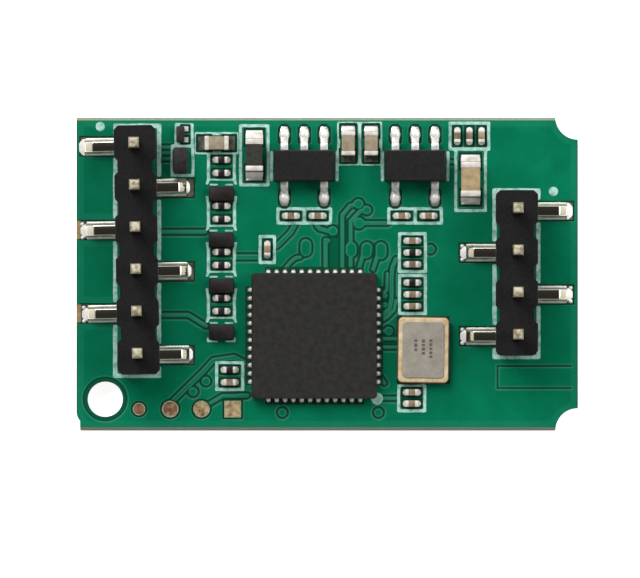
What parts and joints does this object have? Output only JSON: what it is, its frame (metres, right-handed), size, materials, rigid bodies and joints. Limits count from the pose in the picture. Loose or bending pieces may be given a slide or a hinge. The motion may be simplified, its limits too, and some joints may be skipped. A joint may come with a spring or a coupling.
{
  "type": "millimetre-wave radar module",
  "caption": "Small circuit board with a radar chip, regulators, a crystal, chip components and two surface-mount pin headers, with patch antennas on its rear face.",
  "frame": {"origin": "centre of the circuit board's rear face, which is the lowest face of the part", "axes": "+X along the long side from the six-pin header to the four-pin header, +Y along the short side towards the regulators, +Z out of the component side along the header pins"},
  "size_m": [0.024, 0.015, 0.0078],
  "materials": {
    "laminate": "glass-cloth laminate, matt on its broken edges",
    "green_mask": "satin green solder mask",
    "white_print": "matt white ink",
    "solder": "bright tin",
    "plated_copper": "thin gold over copper, dulled",
    "chip_resin": "matt moulded resin",
    "crystal_ceramic": "dark matt ceramic",
    "gilt_ring": "gold-plated ring",
    "lid_metal": "satin nickel plate",
    "dark_ceramic": "dark matt ceramic",
    "pin_metal": "tin-plated brass",
    "housing_plastic": "matt black moulding",
    "component_ends": "tinned metal",
    "resistor_glaze": "black glaze",
    "tan_ceramic": "fired tan ceramic"
  },
  "bodies": {
    "root": {"bulk_capacitor": "tan_ceramic", "bulk_capacitor_ends": "component_ends", "circuit_board": "laminate", "component_print": "white_print", "crystal_base": "crystal_ceramic", "crystal_capacitors": "tan_ceramic", "crystal_capacitors_ends": "component_ends", "crystal_lid": "lid_metal", "crystal_seal_ring": "gilt_ring", "edge_contacts": "plated_copper", "ferrite_bead": "dark_ceramic", "ferrite_bead_ends": "component_ends", "header_4_housing": "housing_plastic", "header_4_pin_1": "pin_metal", "header_4_pin_2": "pin_metal", "header_4_pin_3": "pin_metal", "header_4_pin_4": "pin_metal", "header_6_housing": "housing_plastic", "header_6_pin_1": "pin_metal", "header_6_pin_2": "pin_metal", "header_6_pin_3": "pin_metal", "header_6_pin_4": "pin_metal", "header_6_pin_5": "pin_metal", "header_6_pin_6": "pin_metal", "input_capacitor": "tan_ceramic", "input_capacitor_ends": "component_ends", "level_shifter_1": "chip_resin", "level_shifter_2": "chip_resin", "level_shifter_3": "chip_resin", "level_shifter_4": "chip_resin", "level_shifter_terminals": "solder", "output_capacitor_1": "tan_ceramic", "output_capacitor_1_ends": "component_ends", "output_capacitor_2": "tan_ceramic", "output_capacitor_2_ends": "component_ends", "patch_antennas": "plated_copper", "pull_up_resistors": "resistor_glaze", "pull_up_resistors_ends": "component_ends", "radar_capacitors": "tan_ceramic", "radar_capacitors_ends": "component_ends", "radar_chip_body": "chip_resin", "radar_chip_heat_pad": "solder", "radar_chip_terminals": "solder", "radar_resistors": "resistor_glaze", "radar_resistors_ends": "component_ends", "regulator_1_body": "chip_resin", "regulator_1_leads": "solder", "regulator_2_body": "chip_resin", "regulator_2_leads": "solder", "regulator_capacitors": "tan_ceramic", "regulator_capacitors_ends": "component_ends", "solder_mask": "green_mask", "supply_diode": "chip_resin", "supply_diode_ends": "component_ends", "supply_inductor": "dark_ceramic", "supply_inductor_ends": "component_ends", "test_pads": "plated_copper", "tinned_lands": "solder"}
  },
  "joints": []
}
